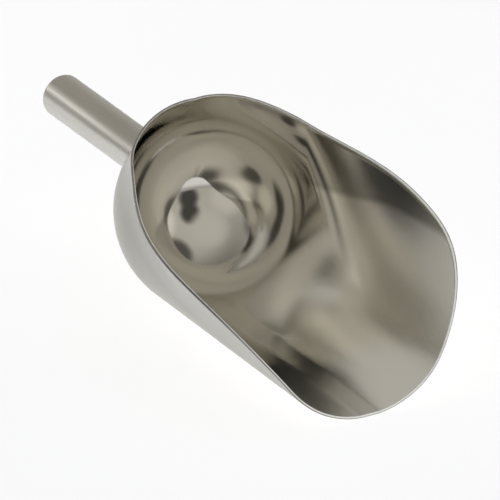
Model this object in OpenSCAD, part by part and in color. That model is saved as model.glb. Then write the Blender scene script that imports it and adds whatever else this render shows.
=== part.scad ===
// Ice scoop in stainless steel sheet and tube.
// +X points out of the mouth, +Z is up, and the floor of the bowl lies on Z = 0.
// The bowl is worked out round the centre of its domed rear end, and the axis of the
// handle passes through that centre.

/* [Bowl] */
// Outer radius of the domed rear end and of the floor
bowl_r = 51; // [48:0.5:54]
// Thickness of the sheet
sheet_t = 1.2; // [0.8:0.1:1.6]
// Distance from the centre of the dome to the tip of the lip
bowl_reach = 142.5; // [130:0.5:160]
// Height taken off the round floor by the flat strip that the scoop rests on
floor_flat = 0.3; // [0.25:0.05:0.4]
// Outward lean of the side walls at the mouth
wall_lean = 36.5; // [25:0.5:45]
// Turn of the wall between the hood at the rear and the flared sides
wall_turn = 82; // [70:1:95]
// Run along the rim, from the middle of the rear, at which half of that turn is done
turn_station = 79.5; // [70:0.5:90]
// Run over which the turn is spread
turn_run = 24; // [18:0.5:30]

/* [Rim] */
// Height of the rim above the centre of the dome, where the trough starts
rim_level = 34.4; // [30:0.1:40]
// Fall of the rim for each unit towards the lip
rim_slope = 0.233; // [0.15:0.001:0.3]
// Extra height of the rim where the hood starts
hood_rise = 1.45; // [0.5:0.05:2]
// Run over which that extra height grows by a factor of 2.7 towards the rear
hood_run = 11.9; // [11:0.1:16]
// Length of the rounded front of the mouth
lip_length = 69; // [60:1:90]
// Squareness of the rounded front, where 2 is an ellipse
lip_power = 3.7; // [2.5:0.1:4.5]

/* [Handle] */
// Outer diameter of the handle tube
handle_d = 22; // [18:0.5:26]
// Wall thickness of the tube and of its end cap
tube_t = 1.2; // [0.8:0.1:1.6]
// Distance from the centre of the dome to the end of the handle
handle_reach = 157; // [135:0.5:180]
// Length of the pressed end cap
cap_length = 6; // [4:0.5:10]
// Radius of the rounded edge of the end cap
cap_corner = 2; // [1.5:0.1:3]
// Width of the ground seam between the tube and the cap
seam_w = 1.2; // [0.8:0.1:2]
// Leg of the weld bead round the root of the handle
bead_r = 1; // [0.6:0.1:2]
// Depth of the bevel on the tube under that bead
bevel = 0.6; // [0.3:0.1:0.8]

/* [Hidden] */
$fn = 96;

handle_r = handle_d / 2;
// The origin is below the middle of the overall length
dome_x = (handle_reach - bowl_reach) / 2;
// Where the outside of the tube meets the dome, measured back from its centre
root_reach = sqrt(bowl_r * bowl_r - handle_r * handle_r);
cap_base = handle_reach - cap_length;
tube_end = cap_base - seam_w;
// The bevel runs a little past the bead, so a ring slid up the handle stops clear of it
bevel_end = root_reach + bead_r + 0.3;

// A station is a place along the rim, measured as a run from the middle of the rear
dome_run = bowl_r * PI / 2;
lip_start = bowl_reach - lip_length;

// Ribs run from the keel to the rim: round the dome, along the trough and round the lip
DOME_RIBS = 16;
TROUGH_RIBS = 8;
LIP_RIBS = 16;
RIBS = DOME_RIBS + TROUGH_RIBS + LIP_RIBS;
// Rings of points from the keel out to the rim
RINGS = 20;
LOOP = 2 * RIBS;
KEEL_POINTS = TROUGH_RIBS + 1;
SKIN_POINTS = KEEL_POINTS + RINGS * LOOP;

function mix(a, b, t) = a + (b - a) * t;

// Angle round the floor at which the wall leaves the round and runs on straight
function leaving_angle(station) =
    90 - wall_lean + wall_turn / (1 + exp((station - turn_station) / turn_run));

// Distance from the axis, or from the centre of the dome, as a multiple of the radius
function reach_factor(station, angle) =
    1 / max(0.3, cos(max(0, angle - leaving_angle(station))));

// Height of the rim above the centre of the dome
function rim_height(x) = rim_level - rim_slope * x + hood_rise * exp(-x / hood_run);

// How far a point on the outer skin is above the rim
function above_rim(station, x, azimuth, angle) =
    let (reach = bowl_r * reach_factor(station, angle))
    -reach * cos(angle) - rim_height(x + reach * sin(angle) * cos(azimuth));

// Angle at which the wall meets the rim, found by halving
function rim_angle(station, x, azimuth, low = 50, high = 176, steps = 24) =
    let (middle = (low + high) / 2)
    steps == 0 ? middle
    : above_rim(station, x, azimuth, middle) > 0
        ? rim_angle(station, x, azimuth, low, middle, steps - 1)
        : rim_angle(station, x, azimuth, middle, high, steps - 1);

// Squareness curve of the lip: distance from its centre at a turn of 0 to 90 degrees
function lip_radius(turn) =
    pow(pow(abs(cos(turn)), lip_power) + pow(abs(sin(turn)), lip_power), -1 / lip_power);

// A rib is [station at the rim, X at the keel, X at the rim, azimuth, angle at the rim]
function dome_rib(i) =
    let (azimuth = 180 - 90 * i / DOME_RIBS)
    let (station = bowl_r * (180 - azimuth) * PI / 180)
    [station, 0, 0, azimuth, rim_angle(station, 0, azimuth)];

function trough_rib(i) =
    let (x = lip_start * i / TROUGH_RIBS)
    [dome_run + x, x, x, 90, rim_angle(dome_run + x, x, 90)];

function lip_rib(i) =
    let (turn = 90 * i / LIP_RIBS)
    let (x = lip_start + lip_length * lip_radius(turn) * sin(turn))
    let (share = i == LIP_RIBS ? 0 : lip_radius(turn) * cos(turn))
    [dome_run + x, lip_start, x, 90, rim_angle(dome_run + x, x, 90) * share];

ALL_RIBS = concat(
    [for (i = [0 : DOME_RIBS - 1]) dome_rib(i)],
    [for (i = [0 : TROUGH_RIBS - 1]) trough_rib(i)],
    [for (i = [0 : LIP_RIBS]) lip_rib(i)]
);

// The point a share of the way up a rib, on the skin of radius r
function skin_point(r, rib, share, side) =
    let (x = mix(rib[1], rib[2], share))
    let (on_dome = rib[3] > 90)
    let (station = on_dome ? rib[0] : dome_run + x)
    let (angle = rib[4] * share)
    let (reach = r * reach_factor(station, angle))
    let (out = reach * sin(angle))
    [
        x + out * cos(rib[3]),
        side * out * sin(rib[3]),
        max(-reach * cos(angle), floor_flat - r)
    ];

// Ribs are counted round the whole rim: out along the right side and back along the left
function loop_rib(k) = k <= RIBS ? k : LOOP - k;
function loop_side(k) = k == 0 || k == RIBS ? 0 : k < RIBS ? 1 : -1;

function skin(r) = concat(
    [for (i = [0 : TROUGH_RIBS]) [lip_start * i / TROUGH_RIBS, 0, floor_flat - r]],
    [for (j = [1 : RINGS]) for (k = [0 : LOOP - 1])
        skin_point(r, ALL_RIBS[loop_rib(k)], j / RINGS, loop_side(k))]
);

function keel_index(k) = min(max(loop_rib(k) - DOME_RIBS, 0), TROUGH_RIBS);
function ring_index(j, k) = KEEL_POINTS + (j - 1) * LOOP + k % LOOP;

function keel_faces(k) =
    let (here = keel_index(k), ahead = keel_index((k + 1) % LOOP))
    concat(
        [[here, ring_index(1, k), ring_index(1, k + 1)]],
        here == ahead ? [] : [[here, ring_index(1, k + 1), ahead]]
    );

SKIN_FACES = concat(
    [for (k = [0 : LOOP - 1]) each keel_faces(k)],
    [for (j = [1 : RINGS - 1]) for (k = [0 : LOOP - 1])
        each [
            [ring_index(j, k), ring_index(j + 1, k), ring_index(j + 1, k + 1)],
            [ring_index(j, k), ring_index(j + 1, k + 1), ring_index(j, k + 1)]
        ]]
);

EDGE_FACES = [for (k = [0 : LOOP - 1]) let (
    a = ring_index(RINGS, k),
    b = ring_index(RINGS, k + 1)
) each [
    [a, a + SKIN_POINTS, b + SKIN_POINTS],
    [a, b + SKIN_POINTS, b]
]];

function flipped(face) = [face[2] + SKIN_POINTS, face[1] + SKIN_POINTS, face[0] + SKIN_POINTS];

// Everything is placed from the centre of the dome
module at_dome() {
    translate([dome_x, 0, bowl_r - floor_flat]) children();
}

// Turns an upright shape to run back along the handle
module along_handle() {
    at_dome() rotate([0, -90, 0]) children();
}

// Half section of a round bar with one rounded end
module rounded_section(r, length, corner) {
    square([r, length - corner]);
    square([r - corner, length]);
    translate([r - corner, length - corner]) circle(r = corner);
}

// One pressed sheet: domed rear, hood, trough, flared sides and rounded lip
module bowl() {
    color("silver")
    at_dome()
    polyhedron(
        points = concat(skin(bowl_r), skin(bowl_r - sheet_t)),
        faces = concat(SKIN_FACES, EDGE_FACES, [for (f = SKIN_FACES) flipped(f)]),
        convexity = 6
    );
}

// Half section of the tube as a solid bar, with the bevel under the root weld
module tube_section() {
    polygon([
        [0, 0],
        [handle_r - bevel, 0],
        [handle_r - bevel, root_reach],
        [handle_r, bevel_end],
        [handle_r, tube_end],
        [0, tube_end]
    ]);
}

// Welded tube, its root cut to sit on the dome
module handle_tube() {
    color("darkgray")
    along_handle()
    rotate_extrude()
    difference() {
        tube_section();
        square([handle_r - tube_t, handle_reach]);
        circle(r = bowl_r, $fn = 360);
    }
}

// Pressed cup that closes the end of the tube
module handle_end_cap() {
    color("darkgray")
    along_handle()
    translate([0, 0, cap_base])
    rotate_extrude()
    difference() {
        rounded_section(handle_r, cap_length, cap_corner);
        rounded_section(handle_r - tube_t, cap_length - tube_t, cap_corner / 2);
    }
}

// Fillet weld where the tube stands on the dome
module handle_root_weld() {
    color("gray")
    along_handle()
    rotate_extrude()
    difference() {
        translate([handle_r, root_reach]) circle(r = bead_r);
        tube_section();
        circle(r = bowl_r, $fn = 360);
    }
}

// Butt weld between tube and cap, ground flush
module end_cap_weld() {
    color("gray")
    along_handle()
    translate([0, 0, tube_end])
    difference() {
        cylinder(r = handle_r, h = seam_w);
        translate([0, 0, -1]) cylinder(r = handle_r - tube_t, h = seam_w + 2);
    }
}

bowl();
handle_tube();
handle_end_cap();
handle_root_weld();
end_cap_weld();
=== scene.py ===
"""Ice scoop in stainless steel: a pressed bowl welded to a closed tube handle."""

import math

import bmesh
import bpy
import numpy as np
from mathutils import Matrix, Vector


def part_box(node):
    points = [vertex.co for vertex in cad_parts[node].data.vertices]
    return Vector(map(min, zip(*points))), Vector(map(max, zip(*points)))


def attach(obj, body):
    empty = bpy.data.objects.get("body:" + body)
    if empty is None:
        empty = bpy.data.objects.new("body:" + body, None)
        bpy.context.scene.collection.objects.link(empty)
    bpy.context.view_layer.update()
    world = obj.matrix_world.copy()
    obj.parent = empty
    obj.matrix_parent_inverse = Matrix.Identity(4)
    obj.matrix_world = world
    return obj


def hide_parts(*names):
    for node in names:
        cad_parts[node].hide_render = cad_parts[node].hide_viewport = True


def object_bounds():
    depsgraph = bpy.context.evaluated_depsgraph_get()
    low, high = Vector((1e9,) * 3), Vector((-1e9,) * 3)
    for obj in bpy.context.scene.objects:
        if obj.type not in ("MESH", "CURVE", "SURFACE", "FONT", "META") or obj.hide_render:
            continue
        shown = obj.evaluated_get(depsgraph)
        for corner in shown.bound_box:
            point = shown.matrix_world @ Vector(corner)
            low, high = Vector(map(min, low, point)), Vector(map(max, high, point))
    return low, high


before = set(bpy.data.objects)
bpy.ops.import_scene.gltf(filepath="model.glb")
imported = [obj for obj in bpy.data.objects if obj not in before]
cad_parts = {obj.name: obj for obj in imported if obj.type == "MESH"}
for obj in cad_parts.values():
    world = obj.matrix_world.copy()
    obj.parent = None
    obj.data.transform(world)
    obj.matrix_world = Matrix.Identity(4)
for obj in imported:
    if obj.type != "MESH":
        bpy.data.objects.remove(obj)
CAD_BOX = [list(corner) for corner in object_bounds()]

MM = 0.001
BODY = "root"

# Sizes of the CAD model, in millimetres
BOWL_R = 51.0
SHEET_T = 1.2
BOWL_REACH = 142.5
FLOOR_FLAT = 0.3
WALL_LEAN = 36.5
WALL_TURN = 82.0
TURN_STATION = 79.5
TURN_RUN = 24.0
RIM_LEVEL = 34.4
RIM_SLOPE = 0.233
HOOD_RISE = 1.45
HOOD_RUN = 11.9
LIP_LENGTH = 69.0
LIP_POWER = 3.7
HANDLE_R = 11.0
TUBE_T = 1.2
HANDLE_REACH = 157.0
CAP_LENGTH = 6.0
CAP_CORNER = 2.0
SEAM_W = 1.2
BEAD_R = 1.0
BEVEL = 0.6

# The dome's centre in the frame, from the bowl's box: its tip and the handle's axis
TUBE_LOW, TUBE_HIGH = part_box("handle_tube")
BOWL_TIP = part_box("bowl")[1].x
DOME = np.array([
    BOWL_TIP / MM - BOWL_REACH,
    0.0,
    (TUBE_LOW.z + TUBE_HIGH.z) / 2 / MM,
])

DOME_RUN = BOWL_R * math.pi / 2
LIP_START = BOWL_REACH - LIP_LENGTH
ROOT_REACH = math.sqrt(BOWL_R ** 2 - HANDLE_R ** 2)
CAP_BASE = HANDLE_REACH - CAP_LENGTH
TUBE_END = CAP_BASE - SEAM_W
BEVEL_END = ROOT_REACH + BEAD_R + 0.3

# Small details, in millimetres unless they say otherwise
# Rounding of the cap's inner corner
CUP_CORNER = 1.0
# The bead is a little under its CAD size, so it stays inside it
BEAD_SCALE = 0.97
# Where the bead's round starts and ends, in degrees from the handle's axis
BEAD_ARC = (12, 100)
# Fine scales on the bead: how many, and how deep
RIPPLES = 48
RIPPLE_DEPTH = 0.05
# Rounds the crease at the sides of the flat strip, in square millimetres
CREASE_ROUNDING = 0.01

# How finely the bowl is built
DOME_ROWS = 110
TROUGH_ROWS = 70
LIP_ROWS = 90
RINGS = 110
EDGE_STEPS = 8
LATHE_STEPS = 192
# Limits, in degrees, between which the rim is looked for, and how often they are halved
RIM_SEARCH = (50, 176)
HALVINGS = 40
# Keeps the straight part of a wall from running off to infinity
LEAST_COSINE = 0.3
# Points closer than this are merged, and edges shorter than this removed, in metres
MERGE_DISTANCE = 1e-7
SHORTEST_EDGE = 1e-8
# Edges that turn by more than this, in radians, are shaded as corners
SHARP_ANGLE = 0.7
# Places in the bowl's list of materials; on the bare edge, the outer half is a painted dark
# line of shade and the inner half a painted highlight
INSIDE, OUTSIDE, EDGE, EDGE_SHADE_LINE = range(4)

# The camera stands a long way off, as a product photographer's does. Angles are in
# degrees, and lengths and the lens in millimetres. Side and raise move the dome's centre
# in the frame
CAMERA_AZIMUTH = 59.91
CAMERA_ELEVATION = 25.04
CAMERA_DISTANCE = 4465.7
CAMERA_SIDE = -14.91
CAMERA_RAISE = 19.58
CAMERA_LENS = 667.2
SENSOR_WIDTH = 36.0

# Pairs of tints between which noise mixes
POLISHED_TINTS = ((0.83, 0.815, 0.77), (0.79, 0.775, 0.73))
SATIN_TINTS = ((0.43, 0.418, 0.385), (0.405, 0.394, 0.361))
# The bare edge's tints are painted light: a near-white painted highlight for its inner half
# and a dark painted line of shade for its outer half
EDGE_HIGHLIGHT_TINTS = ((0.92, 0.91, 0.89), (0.84, 0.83, 0.8))
EDGE_SHADE_LINE_TINTS = ((0.3, 0.29, 0.27), (0.24, 0.23, 0.21))
HANDLE_TINTS = ((0.6, 0.585, 0.545), (0.55, 0.532, 0.49))
WELD_TINTS = ((0.6, 0.585, 0.545), (0.53, 0.512, 0.472))
PAPER_TINTS = ((0.9, 0.9, 0.902), (0.885, 0.885, 0.888))

# Parts of the polished inside with a different tint: painted shade makes the dome darker,
# the mouth is lighter, and a painted dark reflection makes the upper side walls darker
DOME_SHADE_TINT = (0.61, 0.59, 0.54)
MOUTH_TINT = (0.955, 0.94, 0.9)
SIDE_WALL_REFLECTION_TINT = (0.5, 0.485, 0.445)
# Runs of X over which the painted shade of the dome, the lighter mouth, the roughness and
# the painted dark reflection on the side walls fade, in millimetres from the dome's centre
DOME_FADE = (-8, 8)
MOUTH_FADE = (10, 50)
WEAR_FADE = (-12.25, 37.75)
SIDE_WALL_FADE = (-20, -8)
# The painted dark reflection on the side walls starts above a line that rises over this run
# of X, from the first to the second of these heights above the dome's centre, with a soft
# border
SIDE_WALL_CLIMB = (-20, 54)
SIDE_WALL_LEVELS = (-0.5, 9.5)
SIDE_WALL_BLUR = 1.5

# The floor's half width, its gap below the scoop, and the run, from the origin, over which
# painted shade makes the paper greyer, in metres
FLOOR_SIZE = 40.0
FLOOR_GAP = 0.0001
FLOOR_FADE = (0.37, 0.9)
FAR_FLOOR_SHADE_TINT = (0.5, 0.5, 0.5)


# ---- shape of the bowl -------------------------------------------------------------


def leaving_angle(station):
    """Angle, in degrees, at which the wall leaves the round and runs on straight."""
    turned = WALL_TURN / (1 + np.exp((station - TURN_STATION) / TURN_RUN))
    return 90 - WALL_LEAN + turned


def reach_factor(station, angle):
    """Distance from the axis or the dome's centre, as a multiple of the radius."""
    past = np.maximum(0, angle - np.radians(leaving_angle(station)))
    return 1 / np.maximum(LEAST_COSINE, np.cos(past))


def rim_height(x):
    """Height of the rim above the dome's centre."""
    return RIM_LEVEL - RIM_SLOPE * x + HOOD_RISE * np.exp(-x / HOOD_RUN)


def rim_angle(station, x, azimuth):
    """Angle round the floor at which the wall meets the rim, found by halving."""
    low, high = (math.radians(limit) for limit in RIM_SEARCH)
    for _ in range(HALVINGS):
        middle = (low + high) / 2
        reach = BOWL_R * float(reach_factor(station, middle))
        at = x + reach * math.sin(middle) * math.cos(azimuth)
        if -reach * math.cos(middle) > rim_height(at):
            high = middle
        else:
            low = middle
    # The sheet stops half its thickness short, to leave room for the rounded edge
    back = SHEET_T / 2 / BOWL_R / reach_factor(station, middle) ** 2
    return middle - float(back)


def bowl_rows():
    """Rows from the middle of the rear to the tip: station, x, azimuth, rim angle."""
    rows = []
    for i in range(DOME_ROWS):
        azimuth = math.pi - math.pi / 2 * i / DOME_ROWS
        station = BOWL_R * (math.pi - azimuth)
        rows.append((station, 0.0, azimuth, rim_angle(station, 0.0, azimuth)))
    for i in range(TROUGH_ROWS):
        x = LIP_START * i / TROUGH_ROWS
        angle = rim_angle(DOME_RUN + x, x, math.pi / 2)
        rows.append((DOME_RUN + x, x, math.pi / 2, angle))
    for i in range(LIP_ROWS + 1):
        turn = math.pi / 2 * i / LIP_ROWS
        power = abs(math.cos(turn)) ** LIP_POWER + abs(math.sin(turn)) ** LIP_POWER
        radius = power ** (-1 / LIP_POWER)
        x = LIP_START + (LIP_LENGTH - SHEET_T / 2) * radius * math.sin(turn)
        angle = rim_angle(DOME_RUN + x, x, math.pi / 2)
        share = 0.0 if i == LIP_ROWS else radius * math.cos(turn)
        rows.append((DOME_RUN + x, x, math.pi / 2, angle * share))
    return np.array(rows)


def skin(rows, radius):
    """Points of one skin of the right half: rows by rings, from the keel to the rim."""
    share = np.linspace(0, 1, RINGS + 1)[None, :]
    station, x, azimuth, rim = (rows[:, i][:, None] for i in range(4))
    angle = rim * share
    reach = radius * reach_factor(station, angle)
    out = reach * np.sin(angle)
    height = -reach * np.cos(angle)
    # The flat strip blends into the round without a crease
    flat = FLOOR_FLAT - radius
    height = (height + flat + np.sqrt((height - flat) ** 2 + CREASE_ROUNDING)) / 2
    height = np.maximum(height, flat)
    return np.stack([x + out * np.cos(azimuth), out * np.sin(azimuth), height], axis=2)


def rounded_edge(outer, inner):
    """Points round the bare edge of the sheet, between the rims of the two skins."""
    middle = (outer + inner) / 2
    half = (outer - inner) / 2
    along = np.gradient(middle, axis=0)
    along[0] *= (0, 1, 0)
    along[-1] = (0, -1, 0)
    away = np.cross(along, half)
    away /= np.linalg.norm(away, axis=1)[:, None]
    size = np.linalg.norm(half, axis=1)[:, None]
    steps = []
    for i in range(1, EDGE_STEPS):
        turn = math.pi * i / EDGE_STEPS
        steps.append(middle + half * math.cos(turn) + away * size * math.sin(turn))
    return np.stack(steps, axis=1)


def face_kind(j):
    """Material number of the face j steps round the section from the outer keel."""
    if j < RINGS:
        return OUTSIDE
    # The outer half of the bare edge takes the painted dark line of shade, the inner half
    # the painted highlight
    if j < RINGS + EDGE_STEPS // 2:
        return EDGE_SHADE_LINE
    if j < RINGS + EDGE_STEPS:
        return EDGE
    return INSIDE


def bowl_mesh():
    """The bowl's vertices and faces, with each face's material number."""
    rows = bowl_rows()
    outer = skin(rows, BOWL_R)
    inner = skin(rows, BOWL_R - SHEET_T)
    edge = rounded_edge(outer[:, -1], inner[:, -1])
    half = np.concatenate([outer, edge, inner[:, ::-1]], axis=1)
    other = half[1:-1][::-1] * (1, -1, 1)
    loop = np.concatenate([half, other], axis=0) + DOME
    count, width = loop.shape[:2]
    points = loop.reshape(-1, 3) * MM
    faces, kinds = [], []
    for i in range(count):
        a, b = i * width, (i + 1) % count * width
        for j in range(width - 1):
            faces.append((a + j, b + j, b + j + 1, a + j + 1))
            kinds.append(face_kind(j))
    return points, faces, kinds


def new_object(name, points, faces, materials, kinds=None):
    """A cleaned mesh as an object; kinds are its faces' material numbers."""
    mesh = bpy.data.meshes.new(name)
    mesh.from_pydata([tuple(p) for p in points], [], faces)
    for material in materials:
        mesh.materials.append(material)
    if kinds is not None:
        mesh.polygons.foreach_set("material_index", kinds)
    obj = bpy.data.objects.new(name, mesh)
    bpy.context.scene.collection.objects.link(obj)
    clean(mesh)
    return obj


def clean(mesh):
    """Merges doubled points, turns the faces outwards and marks the corners."""
    work = bmesh.new()
    work.from_mesh(mesh)
    bmesh.ops.remove_doubles(work, verts=work.verts, dist=MERGE_DISTANCE)
    bmesh.ops.dissolve_degenerate(work, dist=SHORTEST_EDGE, edges=work.edges)
    bmesh.ops.recalc_face_normals(work, faces=work.faces)
    for face in work.faces:
        face.smooth = True
    for edge in work.edges:
        if len(edge.link_faces) == 2 and edge.calc_face_angle() > SHARP_ANGLE:
            edge.smooth = False
    work.to_mesh(mesh)
    work.free()


# ---- handle --------------------------------------------------------------------------


def lathe(name, profile, material, ripple=None):
    """Turns a closed profile of (reach, radius) points round the handle's axis."""
    points, faces = [], []
    count = len(profile)
    for i in range(LATHE_STEPS):
        turn = 2 * math.pi * i / LATHE_STEPS
        for reach, radius in profile:
            if ripple:
                radius = radius + ripple(turn, radius)
            points.append(DOME + (-reach, radius * math.cos(turn), radius * math.sin(turn)))
    for i in range(LATHE_STEPS):
        a, b = i * count, (i + 1) % LATHE_STEPS * count
        for j in range(count):
            k = (j + 1) % count
            faces.append((a + j, a + k, b + k, b + j))
    return new_object(name, np.array(points) * MM, faces, [material])


def line(start, end, steps):
    """Evenly spaced points from start up to, but without, end."""
    reach, radius = end[0] - start[0], end[1] - start[1]
    return [
        (start[0] + reach * i / steps, start[1] + radius * i / steps)
        for i in range(steps)
    ]


def arc(centre, radius, start, end, steps):
    """Points on an arc in (reach, radius), with angles in degrees."""
    points = []
    for i in range(steps + 1):
        turn = math.radians(start + (end - start) * i / steps)
        reach = centre[0] + radius * math.cos(turn)
        points.append((reach, centre[1] + radius * math.sin(turn)))
    return points


def on_dome(radius):
    """The point on the outside of the dome at this radius from the handle's axis."""
    return (math.sqrt(BOWL_R ** 2 - radius ** 2), radius)


def tube_profile():
    """Section of the tube: its root cut to the dome, with the bevel under the bead."""
    bore = HANDLE_R - TUBE_T
    foot = HANDLE_R - BEVEL
    return (
        line(on_dome(foot), (BEVEL_END, HANDLE_R), 3)
        + line((BEVEL_END, HANDLE_R), (TUBE_END, HANDLE_R), 40)
        + line((TUBE_END, HANDLE_R), (TUBE_END, bore), 2)
        + line((TUBE_END, bore), on_dome(bore), 8)
        + line(on_dome(bore), on_dome(foot), 2)
    )


def cap_profile():
    """Section of the pressed cup, rounded outside and inside."""
    bore = HANDLE_R - TUBE_T
    inside = HANDLE_REACH - TUBE_T
    shoulder = HANDLE_REACH - CAP_CORNER
    face_edge = HANDLE_R - CAP_CORNER
    cup_edge = bore - CUP_CORNER
    return (
        line((CAP_BASE, HANDLE_R), (shoulder, HANDLE_R), 6)
        + arc((shoulder, face_edge), CAP_CORNER, 90, 0, 10)
        + line((HANDLE_REACH, face_edge - 0.2), (HANDLE_REACH, 0.0), 10)
        + [(HANDLE_REACH, 0.0), (inside, 0.0)]
        + line((inside, 1.0), (inside, cup_edge), 4)
        + arc((inside - CUP_CORNER, cup_edge), CUP_CORNER, 0, 90, 5)
        + line((inside - CUP_CORNER - 0.5, bore), (CAP_BASE, bore), 3)
        + line((CAP_BASE, bore), (CAP_BASE, HANDLE_R), 2)
    )


def seam_profile():
    """Section of the ring of weld between the tube and the cap."""
    bore = HANDLE_R - TUBE_T
    return (
        line((TUBE_END, HANDLE_R), (CAP_BASE, HANDLE_R), 6)
        + line((CAP_BASE, HANDLE_R), (CAP_BASE, bore), 2)
        + line((CAP_BASE, bore), (TUBE_END, bore), 4)
        + line((TUBE_END, bore), (TUBE_END, HANDLE_R), 2)
    )


def bead_profile():
    """Section of the fillet weld: round outside, the bevel and the dome behind it."""
    crest = arc((ROOT_REACH, HANDLE_R), BEAD_R * BEAD_SCALE, *BEAD_ARC, 12)
    toe = crest[-1][1]
    foot = on_dome(HANDLE_R - BEVEL)
    dome_side = [on_dome(toe - 0.02)] + line(on_dome(toe - 0.2), foot, 4)
    bevel_side = line(foot, (BEVEL_END - 0.35, HANDLE_R - 0.14), 3)
    return crest + dome_side + bevel_side


def weld_ripple(turn, radius):
    """Fine scales left by the torch, only on the outside of the bead."""
    proud = min(max((radius - HANDLE_R + 0.1) / 0.5, 0.0), 1.0)
    uneven = RIPPLES * turn + 2.0 * math.sin(3 * turn)
    return -RIPPLE_DEPTH * proud * (0.5 + 0.5 * math.sin(uneven))


# ---- materials -----------------------------------------------------------------------


class Nodes:
    """Short calls that build one material's node tree.

    The colour and roughness are plain values, for viewers that show no nodes.
    """

    def __init__(self, name, colour, roughness):
        self.material = bpy.data.materials.new(name)
        self.material.use_nodes = True
        self.tree = self.material.node_tree
        self.shader = self.tree.nodes["Principled BSDF"]
        self.shader.inputs["Base Color"].default_value = (*colour, 1)
        self.shader.inputs["Metallic"].default_value = 1.0
        self.shader.inputs["Roughness"].default_value = roughness
        self.place = self.add("ShaderNodeTexCoord").outputs["Object"]

    def add(self, kind, **values):
        """A new node; each value sets the input or else the property of that name."""
        node = self.tree.nodes.new(kind)
        for key, value in values.items():
            if key in node.inputs:
                node.inputs[key].default_value = value
            else:
                setattr(node, key, value)
        return node

    def link(self, source, target):
        self.tree.links.new(source, target)

    def stretched(self, scale):
        """Object coordinates, multiplied by scale along each axis."""
        mapping = self.add("ShaderNodeMapping", Scale=scale)
        self.link(self.place, mapping.inputs["Vector"])
        return mapping.outputs["Vector"]

    def coordinate(self, axis):
        """One of the object coordinates, in metres."""
        split = self.add("ShaderNodeSeparateXYZ")
        self.link(self.place, split.inputs["Vector"])
        return split.outputs[axis]

    def noise(self, stretch, scale, detail, rough=0.5):
        """Cloudy noise from 0 to 1, finer along the axes that are stretched more."""
        node = self.add("ShaderNodeTexNoise", Scale=scale, Detail=detail, Roughness=rough)
        self.link(self.stretched(stretch), node.inputs["Vector"])
        return node.outputs["Fac"]

    def ranged(self, value, low, high, to_low=0, to_high=1):
        """Maps low to to_low and high to to_high, and stays at those beyond them."""
        node = self.add("ShaderNodeMapRange")
        for key, number in zip(
            ("From Min", "From Max", "To Min", "To Max"), (low, high, to_low, to_high)
        ):
            node.inputs[key].default_value = number
        self.link(value, node.inputs["Value"])
        return node.outputs["Result"]

    def maths(self, operation, a, b):
        """Sum, difference or product of two numbers or outputs."""
        node = self.add("ShaderNodeMath", operation=operation)
        for socket, value in zip(node.inputs, (a, b)):
            if isinstance(value, (int, float)):
                socket.default_value = value
            else:
                self.link(value, socket)
        return node.outputs["Value"]

    def along_x(self, run, to_low, to_high):
        """A value that changes over a run of X from the dome's centre."""
        start, stop = ((DOME[0] + x) * MM for x in run)
        return self.ranged(self.coordinate("X"), start, stop, to_low, to_high)

    def blend(self, factor, first, second):
        """Colour between two colours, each a tuple or an output."""
        node = self.add("ShaderNodeMix", data_type="RGBA")
        self.link(factor, node.inputs["Factor"])
        for socket, value in ((node.inputs["A"], first), (node.inputs["B"], second)):
            if isinstance(value, tuple):
                socket.default_value = (*value, 1)
            else:
                self.link(value, socket)
        return node.outputs["Result"]

    def bump(self, height, strength, distance, before=None):
        """Fine relief, laid over the relief before it."""
        node = self.add("ShaderNodeBump", Strength=strength, Distance=distance)
        self.link(height, node.inputs["Height"])
        if before is not None:
            self.link(before, node.inputs["Normal"])
        return node.outputs["Normal"]

    def finish(self, colour, roughness=None, normal=None):
        """Links what is given to the shader and returns the material."""
        sockets = {"Base Color": colour, "Roughness": roughness, "Normal": normal}
        for key, value in sockets.items():
            if value is not None:
                self.link(value, self.shader.inputs[key])
        return self.material


# Stretch of noise that looks the same along all axes
EVEN = (1, 1, 1)


def dark_reflection_mask(n):
    """Where the painted dark reflection goes: 1 on the upper side walls of the trough, 0 on
    its floor and in the dome.
    """
    low, high = ((DOME[2] + level) * MM for level in SIDE_WALL_LEVELS)
    line_height = n.along_x(SIDE_WALL_CLIMB, low, high)
    over_line = n.maths("SUBTRACT", n.coordinate("Z"), line_height)
    above = n.ranged(over_line, -SIDE_WALL_BLUR * MM, SIDE_WALL_BLUR * MM)
    return n.maths("MULTIPLY", above, n.along_x(SIDE_WALL_FADE, 0, 1))


def polished_steel():
    """Polished inside of the bowl, its reflections softer towards the mouth, with painted
    shade in the dome and a painted dark reflection on the upper side walls.
    """
    n = Nodes("steel_polished", (0.8, 0.785, 0.74), 0.09)
    cloud = n.noise(EVEN, scale=22.0, detail=2.0)
    fine = n.noise((60, 900, 900), scale=1.0, detail=4.0, rough=0.6)
    tint = n.blend(n.ranged(cloud, 0.3, 0.7), *POLISHED_TINTS)
    # Painted shade: the dome is tinted darker than the trough
    tint = n.blend(n.along_x(DOME_FADE, 1, 0), tint, DOME_SHADE_TINT)
    tint = n.blend(n.along_x(MOUTH_FADE, 0, 1), tint, MOUTH_TINT)
    # Painted dark reflection: the upper side walls are tinted darker
    tint = n.blend(dark_reflection_mask(n), tint, SIDE_WALL_REFLECTION_TINT)
    worn = n.along_x(WEAR_FADE, 0.0, 0.12)
    uneven = n.maths("ADD", cloud, n.maths("MULTIPLY", fine, 0.6))
    rough = n.maths("ADD", n.ranged(uneven, 0.5, 1.1, 0.05, 0.11), worn)
    wave = n.noise(EVEN, scale=30.0, detail=1.0)
    relief = n.bump(wave, strength=0.12, distance=0.0006)
    relief = n.bump(fine, strength=0.03, distance=0.00005, before=relief)
    return n.finish(tint, rough, relief)


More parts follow.
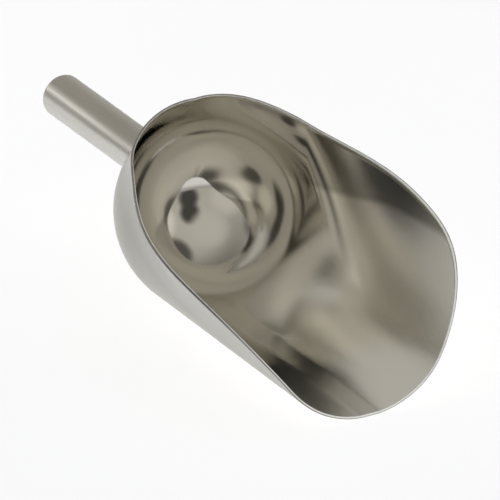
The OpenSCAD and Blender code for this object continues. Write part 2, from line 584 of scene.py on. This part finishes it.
def satin_steel():
    """Fine satin outside the bowl, with its grain along the length."""
    n = Nodes("steel_satin", (0.6, 0.585, 0.555), 0.34)
    cloud = n.noise(EVEN, scale=16.0, detail=3.0)
    grain = n.noise((40, 1500, 1500), scale=1.0, detail=4.0, rough=0.65)
    tint = n.blend(n.ranged(cloud, 0.3, 0.7), *SATIN_TINTS)
    mixed = n.maths("ADD", n.maths("MULTIPLY", cloud, 0.5), grain)
    rough = n.ranged(mixed, 0.45, 1.05, 0.3, 0.42)
    return n.finish(tint, rough, n.bump(grain, strength=0.12, distance=0.00006))


def edge_steel(name, tints, metallic):
    """Bare edge of the sheet, slightly worn; each of its two materials paints light on it,
    one a painted highlight and the other a painted dark line of shade.
    """
    n = Nodes(name, tints[0], 0.3)
    n.shader.inputs["Metallic"].default_value = metallic
    wear = n.noise(EVEN, scale=300.0, detail=4.0, rough=0.6)
    tint = n.blend(n.ranged(wear, 0.35, 0.65), *tints)
    rough = n.ranged(wear, 0.3, 0.7, 0.25, 0.4)
    return n.finish(tint, rough, n.bump(wear, strength=0.08, distance=0.00005))


def brushed_steel(name, tints, smoothest, roughest, along=True):
    """Brushed steel whose grain runs along the handle (along) or round it."""
    n = Nodes(name, tints[0], (smoothest + roughest) / 2)
    grain_stretch = (35, 1400, 1400) if along else (1400, 60, 60)
    streak_stretch = (8, 260, 260) if along else (260, 12, 12)
    grain = n.noise(grain_stretch, scale=1.0, detail=5.0, rough=0.65)
    streak = n.noise(streak_stretch, scale=1.0, detail=3.0, rough=0.6)
    cloud = n.noise(EVEN, scale=40.0, detail=2.0)
    mixed = n.maths("ADD", n.maths("MULTIPLY", streak, 0.7), n.maths("MULTIPLY", cloud, 0.3))
    tint = n.blend(n.ranged(mixed, 0.35, 0.65), *tints)
    rough = n.ranged(n.maths("ADD", grain, streak), 0.7, 1.3, smoothest, roughest)
    return n.finish(tint, rough, n.bump(grain, strength=0.16, distance=0.00007))


def floor_material():
    """Matt white paper with a barely visible mottle, and painted shade that makes it greyer
    far from the scoop.
    """
    n = Nodes("studio_floor", (0.9, 0.9, 0.9), 0.9)
    n.shader.inputs["Metallic"].default_value = 0.0
    n.shader.inputs["Specular IOR Level"].default_value = 0.0
    paper = n.blend(n.noise(EVEN, scale=3.0, detail=2.0), *PAPER_TINTS)
    reach = n.add("ShaderNodeVectorMath", operation="LENGTH")
    n.link(n.place, reach.inputs[0])
    # Painted shade: the paper turns greyer far from the scoop
    far = n.ranged(reach.outputs["Value"], *FLOOR_FADE)
    return n.finish(n.blend(far, paper, FAR_FLOOR_SHADE_TINT))


# ---- the object ------------------------------------------------------------------------


def place(piece, node):
    """Puts a piece on the body in the stead of its CAD node."""
    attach(piece, BODY)
    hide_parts(node)


def build_object():
    """The bowl, the handle and their welds."""
    handle_steel = brushed_steel("steel_brushed", HANDLE_TINTS, 0.24, 0.38)
    seam_steel = brushed_steel("steel_seam", HANDLE_TINTS, 0.25, 0.39)
    weld_steel = brushed_steel("steel_weld", WELD_TINTS, 0.28, 0.42, along=False)
    bowl_steels = [
        polished_steel(),
        satin_steel(),
        # The bare edge: a painted highlight, lit as a mostly matt colour by the lamps, on
        # its inner half and a painted dark line of shade on its outer half
        edge_steel("steel_rim_painted_highlight", EDGE_HIGHLIGHT_TINTS, metallic=0.25),
        edge_steel("steel_rim_painted_shade", EDGE_SHADE_LINE_TINTS, metallic=0.7),
    ]
    points, faces, kinds = bowl_mesh()
    bowl = new_object("scoop_bowl", points, faces, bowl_steels, kinds)
    place(bowl, "bowl")
    tube = lathe("scoop_handle_tube", tube_profile(), handle_steel)
    place(tube, "handle_tube")
    cap = lathe("scoop_handle_cap", cap_profile(), handle_steel)
    place(cap, "handle_end_cap")
    root = lathe("scoop_root_weld", bead_profile(), weld_steel, weld_ripple)
    place(root, "handle_root_weld")
    seam = lathe("scoop_cap_weld", seam_profile(), seam_steel)
    place(seam, "end_cap_weld")


# ---- studio ----------------------------------------------------------------------------


def build_floor():
    """One wide sheet of paper under the scoop."""
    mesh = bpy.data.meshes.new("studio_floor")
    corners = [
        (-FLOOR_SIZE, -FLOOR_SIZE, 0),
        (FLOOR_SIZE, -FLOOR_SIZE, 0),
        (FLOOR_SIZE, FLOOR_SIZE, 0),
        (-FLOOR_SIZE, FLOOR_SIZE, 0),
    ]
    mesh.from_pydata(corners, [], [(0, 1, 2, 3)])
    mesh.materials.append(floor_material())
    floor = bpy.data.objects.new("studio_floor", mesh)
    floor.location.z = CAD_BOX[0][2] - FLOOR_GAP
    bpy.context.scene.collection.objects.link(floor)


def towards(azimuth, elevation):
    """Direction with its azimuth and elevation in degrees; azimuth 0 is along -Y."""
    a, e = math.radians(azimuth), math.radians(elevation)
    return Vector((math.sin(a) * math.cos(e), -math.cos(a) * math.cos(e), math.sin(e)))


def soft_light(name, azimuth, elevation, distance, size, power, aim=(0, 0, 0), glossy=False):
    """A soft rectangular lamp; without glossy it lights matt surfaces only."""
    light = bpy.data.lights.new(name, "AREA")
    light.shape = "RECTANGLE"
    light.size, light.size_y = size
    light.energy = power
    lamp = bpy.data.objects.new(name, light)
    away = towards(azimuth, elevation)
    lamp.location = Vector(aim) + away * distance
    lamp.rotation_euler = away.to_track_quat("Z", "Y").to_euler()
    lamp.visible_glossy = glossy
    bpy.context.scene.collection.objects.link(lamp)


def even_light(name, strength):
    """Shadowless light from straight above, the same all over the matt floor."""
    light = bpy.data.lights.new(name, "SUN")
    light.energy = strength
    light.use_shadow = False
    lamp = bpy.data.objects.new(name, light)
    lamp.visible_glossy = False
    bpy.context.scene.collection.objects.link(lamp)


# Round patches of the room that differ from its base, in degrees: azimuth, elevation,
# half angle of the even middle and of the whole patch; then the brightness
ROOM = (
    (100, 36, 8, 55, 0.62),
    (-32, 36, 12, 30, 0.22),
    (4, 28, 8, 24, 0.12),
    (-22, 8, 14, 34, 0.06),
    (-66, 32, 8, 24, 0.43),
    (50, 10, 2, 26, 0.72),
    (136, 18, 4, 22, 0.95),
    (95, 8, 6, 15, 0.08),
    (97, 24, 6, 15, 0.08),
    (147, 50, 8, 18, 0.12),
    (76, 46, 3, 26, 0.66),
)
# Base brightness of the room against the sine of the elevation
ROOM_BASE = ((0.0, 0.55), (0.3, 0.5), (0.55, 0.46), (0.8, 0.38), (1.0, 0.26))
ROOM_TINT = (1.0, 0.97, 0.89)


def tinted(level):
    """The room's colour at a brightness."""
    return (*(level * tint for tint in ROOM_TINT), 1)


def add_patch(tree, direction, colour, azimuth, elevation, inner, outer, level):
    """Lays one soft-edged round patch over the room's colour."""
    dot = tree.nodes.new("ShaderNodeVectorMath")
    dot.operation = "DOT_PRODUCT"
    dot.inputs[1].default_value = towards(azimuth, elevation)
    tree.links.new(direction, dot.inputs[0])
    share = tree.nodes.new("ShaderNodeMapRange")
    share.interpolation_type = "SMOOTHSTEP"
    share.inputs["From Min"].default_value = math.cos(math.radians(outer))
    share.inputs["From Max"].default_value = math.cos(math.radians(inner))
    tree.links.new(dot.outputs["Value"], share.inputs["Value"])
    mix = tree.nodes.new("ShaderNodeMix")
    mix.data_type = "RGBA"
    mix.inputs["B"].default_value = tinted(level)
    tree.links.new(share.outputs["Result"], mix.inputs["Factor"])
    tree.links.new(colour, mix.inputs["A"])
    return mix.outputs["Result"]


def build_world():
    """What the steel reflects: a pale tent with a dimmer ceiling, gaps and panels."""
    world = bpy.data.worlds.new("studio")
    bpy.context.scene.world = world
    world.use_nodes = True
    tree = world.node_tree
    direction = tree.nodes.new("ShaderNodeTexCoord").outputs["Generated"]
    split = tree.nodes.new("ShaderNodeSeparateXYZ")
    ramp = tree.nodes.new("ShaderNodeValToRGB")
    tree.links.new(direction, split.inputs["Vector"])
    tree.links.new(split.outputs["Z"], ramp.inputs["Fac"])
    stops = ramp.color_ramp.elements
    stops[0].color = tinted(ROOM_BASE[0][1])
    stops[1].color = tinted(ROOM_BASE[-1][1])
    for position, level in ROOM_BASE[1:-1]:
        stops.new(position).color = tinted(level)
    colour = ramp.outputs["Color"]
    for patch in ROOM:
        colour = add_patch(tree, direction, colour, *patch)
    tree.links.new(colour, tree.nodes["Background"].inputs["Color"])
    # The matt floor is lit by the lamps alone, so its shadow stays faint
    world.cycles_visibility.diffuse = False


def build_camera():
    """A long lens at the photograph's viewing angle."""
    camera = bpy.data.cameras.new("camera")
    camera.lens = CAMERA_LENS
    camera.sensor_width = SENSOR_WIDTH
    camera.clip_end = 100.0
    camera.dof.use_dof = False
    obj = bpy.data.objects.new("camera", camera)
    turned = math.radians(CAMERA_AZIMUTH)
    right = Vector((math.cos(turned), math.sin(turned), 0))
    back = towards(CAMERA_AZIMUTH, CAMERA_ELEVATION)
    up = back.cross(right)
    turn = Matrix((right, up, back)).transposed()
    spot = Vector(DOME) + back * CAMERA_DISTANCE - right * CAMERA_SIDE - up * CAMERA_RAISE
    obj.matrix_world = Matrix.Translation(spot * MM) @ turn.to_4x4()
    bpy.context.scene.collection.objects.link(obj)
    bpy.context.scene.camera = obj


build_object()
build_floor()
build_world()
even_light("ceiling", strength=2.86)
soft_light("shadow_maker", 178, 70, distance=1.3, size=(3.5, 3.5), power=9.3)
soft_light(
    "handle_strip", -58, 17, distance=0.4, size=(0.26, 0.1), power=0.07,
    aim=(-0.1, 0, 0.05), glossy=True,
)
build_camera()
bpy.context.scene.view_settings.view_transform = "Standard"
